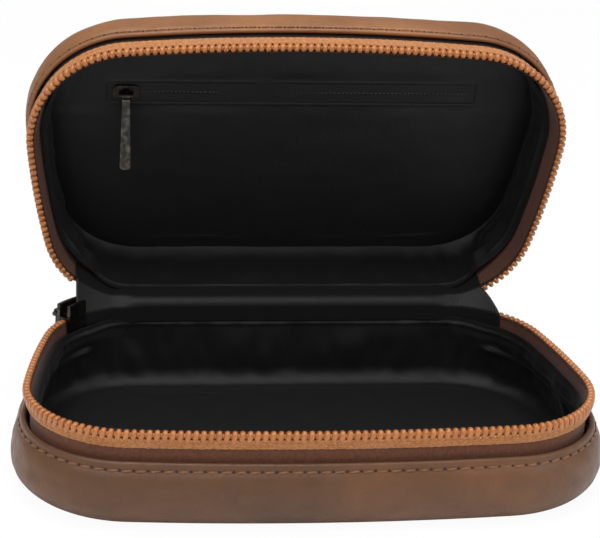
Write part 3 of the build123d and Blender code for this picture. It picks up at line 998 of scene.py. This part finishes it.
def lid_panel_shape(u, v):
    """The panel's cloth, sunk along the slit, with a lip beside it."""
    y = panel_row(v)
    x = (2 * u - 1) * panel_half_width(y)
    along = smooth_step(pocket_length / 2 + 1.0, pocket_length / 2 - 1.0, abs(x))
    off = abs(y - pocket_v) - slit_half
    slit = slit_depth * along if off < 0 else 0.0
    lip = lip_height * ridge(off, lip_place, lip_width) * along if off > 0 else 0.0
    rise = panel_fold * ripple((x, y, 0), panel_fold_size, 3.3)
    rise += panel_crease * ripple((x, y * 1.5, 0), panel_crease_size, 6.1)
    edge = smooth_step(0, row_fade, v) * smooth_step(1, 1 - row_fade, v)
    edge *= smooth_step(0, column_fade, u) * smooth_step(1, 1 - column_fade, u)
    calm = smooth_step(0.5, 6.0, off) if off > 0 else 0.0
    return Vector((x, y, panel_level + panel_lift + (panel_lift + rise) * edge * calm + lip - slit))


panel_sheet = mapped_sheet(lid_panel_shape, 260, 150)
lid_panel_cloth = make_piece("lid_lining_cloth", panel_sheet, lid_turn, lining_cloth)
keep(lid_panel_cloth, "lid", "black_lining", "lid_lining_panel")

# The pocket zip's teeth show as a fine line of dots between its two tapes
pocket_pitch = 1.6
pocket_dot = 0.42
dot_shape = Matrix.Diagonal((1.3, 1.1, 1.0, 1))
dot_grid = {"u_segments": 8, "v_segments": 6, "radius": pocket_dot}
pocket_dots = bmesh.new()
dot_reach = int(pocket_length / 2 / pocket_pitch) - 1
for index in range(-dot_reach, dot_reach + 1):
    place = Matrix.Translation((index * pocket_pitch, pocket_v, panel_level - pocket_dot))
    bmesh.ops.create_uvsphere(pocket_dots, matrix=place @ dot_shape, **dot_grid)
keep(make_piece("pocket_teeth_line", pocket_dots, lid_turn, dark_nylon), "lid", "black_coil")


# Hinge: a leather strip outside, and inside a lining strip whose ends are webs from zip to zip

hinge_line = Vector((0, rim_back, half_height))
lid_leg = Vector((0, sin(radians(open_angle)), cos(radians(open_angle))))
leg_share = 0.25


def about_hinge(distance, turn, below, taut):
    """A point beside the hinge line: down the tray, round by turn (0 to 1), and up the lid."""
    bend = radians(open_angle)
    angle = pi - bend * turn
    arc = Vector((0, cos(angle), sin(angle))) * distance
    first = Vector((0, -distance, 0))
    last = Vector((0, cos(pi - bend), sin(pi - bend))) * distance
    point = hinge_line + arc.lerp(first.lerp(last, turn), taut)
    if turn <= 0:
        point += Vector((0, 0, -below))
    elif turn >= 1:
        point += lid_leg * below
    return point


def strip_section(v, distance, leg, taut):
    """A strip's section: leg, bend, leg. Taut is 0 for a round bend and 1 for a straight one."""
    if v < leg_share:
        return about_hinge(distance, 0, leg * (1 - v / leg_share), taut)
    if v > 1 - leg_share:
        return about_hinge(distance, 1, leg * (v - (1 - leg_share)) / leg_share, taut)
    return about_hinge(distance, (v - leg_share) / (1 - 2 * leg_share), 0, taut)


def blended(piece, slot, *nodes):
    """Bake a strip's place into its mesh between the tray and the lid, and hide the nodes that it
    replaces; the slot is not used.
    """
    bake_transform(piece)
    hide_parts(*nodes)


outer_leg = 7.0
outer_half_length = 72.0
outer_thick = 0.9


def hinge_leather_shape(u, v):
    """The leather strip outside the hinge."""
    point = strip_section(v, hinge_gap + leather, outer_leg, 0.0)
    point.x = (2 * u - 1) * outer_half_length
    return point


outer_sheet = mapped_sheet(hinge_leather_shape, 60, 40)
outer_strip = make_piece("hinge_leather_strip", outer_sheet, Matrix.Identity(4), tray_leather_painted_shade)
thicken(outer_strip, outer_thick, 1.0)
blended(outer_strip, "tan_leather", "hinge_leather")


def mouth_gap(x):
    """How far the inside of the mouth stands in front of the hinge line at this place along it."""
    growth = tape_back - layer_gap
    centre, radius, start, end = half_arcs(growth, rim_back + growth)[3]
    over = max(0.0, abs(x) - centre.x)
    return rim_back - centre.y - sqrt(radius**2 - over**2)


web_left = 82.0
web_right_tray = 82.0
web_right_lid = 76.4
web_start = 57.5
web_fade = 8
web_leg = 6.0
web_end_leg = 5.0
web_thick = 0.4


def web_shape(u, v):
    """The lining strip inside the hinge: its ends stand out to the mouth and have longer legs."""
    side = min(1.0, max(0.0, 2 * v - 0.5))
    right = web_right_tray + (web_right_lid - web_right_tray) * side
    x = -web_left + (web_left + right) * u
    out = smooth_step(web_start, web_start + web_fade, abs(x))
    distance = max(inside_depth + hinge_gap - layer_gap, mouth_gap(x))
    point = strip_section(v, distance, web_leg + web_end_leg * out, out)
    point.x = x
    return point


web_sheet = mapped_sheet(web_shape, 160, 44)
inner_strip = make_piece("hinge_web", web_sheet, Matrix.Identity(4), lining_cloth)
thicken(inner_strip, web_thick, 1.0)
blended(inner_strip, "black_lining", "hinge_lining", "left_gusset", "right_gusset")


# Materials of the hidden and metal nodes that keep their own solids

kept_solids = {
    grey_board: ("base_board", "lid_board"),
    coil_nylon: ("base_zip_stops", "lid_zip_stops"),
    lining_cloth: ("pocket_pouch", "pocket_upper_tape", "pocket_lower_tape"),
    dark_nylon: ("pocket_upper_coil", "pocket_lower_coil"),
    gunmetal: ("pocket_zip_stops", "main_slider", "main_puller", "pocket_slider", "pocket_puller"),
}
for material, nodes in kept_solids.items():
    for node in nodes:
        looks = frame["nodes"][node].data.materials
        looks.clear()
        looks.append(material)


# Floor, backdrop, lights and camera

floor_half = 3000
floor_drop = 0.4
floor_white = 0.95
sky_strength = 0.38


def seen_by_camera(nodes, links, share):
    """A number that is this share for what the camera sees, and 0 for light and reflections."""
    path = nodes.new("ShaderNodeLightPath")
    times = nodes.new("ShaderNodeMath")
    times.operation = "MULTIPLY"
    times.inputs[1].default_value = share
    links.new(path.outputs["Is Camera Ray"], times.inputs[0])
    return times.outputs[0]


floor_mesh = bmesh.new()
bmesh.ops.create_grid(floor_mesh, x_segments=1, y_segments=1, size=floor_half)
floor_material, floor_shader = new_material("pale_floor", roughness=0.9, specular=0.0)
floor_shader.inputs["Base Color"].default_value = (0.9, 0.9, 0.9, 1)
floor_nodes, floor_links = floor_material.node_tree.nodes, floor_material.node_tree.links
glow = floor_nodes.new("ShaderNodeEmission")
blend_floor = floor_nodes.new("ShaderNodeMixShader")
floor_links.new(seen_by_camera(floor_nodes, floor_links, floor_white), blend_floor.inputs[0])
floor_links.new(floor_shader.outputs[0], blend_floor.inputs[1])
floor_links.new(glow.outputs[0], blend_floor.inputs[2])
floor_links.new(blend_floor.outputs[0], floor_nodes["Material Output"].inputs["Surface"])
floor = make_piece("floor", floor_mesh, Matrix.Translation((0, 0, -floor_drop)), floor_material)

scene = bpy.context.scene
scene.view_settings.view_transform = "Standard"
world = bpy.data.worlds.new("studio")
scene.world = world
world.use_nodes = True
sky_nodes, sky_links = world.node_tree.nodes, world.node_tree.links
sky = sky_nodes["Background"]
sky.inputs["Color"].default_value = (1, 1, 1, 1)
sky.inputs["Strength"].default_value = sky_strength
white_sky = sky_nodes.new("ShaderNodeBackground")
white_sky.inputs["Color"].default_value = (1, 1, 1, 1)
blend_sky = sky_nodes.new("ShaderNodeMixShader")
sky_links.new(seen_by_camera(sky_nodes, sky_links, 1.0), blend_sky.inputs[0])
sky_links.new(sky.outputs[0], blend_sky.inputs[1])
sky_links.new(white_sky.outputs[0], blend_sky.inputs[2])
sky_links.new(blend_sky.outputs[0], sky_nodes["World Output"].inputs["Surface"])


def softbox(name, place, aim, size, power):
    """A square area light aimed at a point, in metres and watts."""
    light = bpy.data.lights.new(name, "AREA")
    light.size = size
    light.energy = power
    holder = bpy.data.objects.new(name, light)
    holder.location = place
    way = Vector(aim) - Vector(place)
    holder.rotation_euler = way.to_track_quat("-Z", "Y").to_euler()
    scene.collection.objects.link(holder)


softbox("key", (-0.6, -0.7, 1.0), (0, 0, 0.06), 0.7, 6)
softbox("fill", (0.9, -0.6, 0.6), (0, 0, 0.05), 0.8, 3.5)
softbox("top", (0.0, -0.1, 1.2), (0, 0.03, 0.06), 0.8, 11)

# The photograph's viewpoint in metres, fitted to the mouths of both halves
camera_place = Vector((-0.085498, -0.572306, 0.286))
camera_yaw = radians(5.691)
camera_pitch = radians(15.891)
camera_roll = radians(1.892)
camera_focal = 1735.977
camera_centre = (234.11, 127.34)
photo_width = 600
photo_height = 538
sensor_width = 36.0

level = cos(camera_pitch)
forward = Vector((sin(camera_yaw) * level, cos(camera_yaw) * level, -sin(camera_pitch)))
level_right = Vector((cos(camera_yaw), -sin(camera_yaw), 0))
level_up = level_right.cross(forward)
right = level_right * cos(camera_roll) + level_up * sin(camera_roll)
up = -level_right * sin(camera_roll) + level_up * cos(camera_roll)
lens = bpy.data.cameras.new("camera")
lens.sensor_width = sensor_width
lens.lens = camera_focal / photo_width * sensor_width
lens.shift_x = (photo_width / 2 - camera_centre[0]) / photo_width
lens.shift_y = (camera_centre[1] - photo_height / 2) / photo_width
lens.clip_start = 0.01
camera = bpy.data.objects.new("camera", lens)
camera.matrix_world = axes_at(right, up, -forward, camera_place)
scene.collection.objects.link(camera)
scene.camera = camera
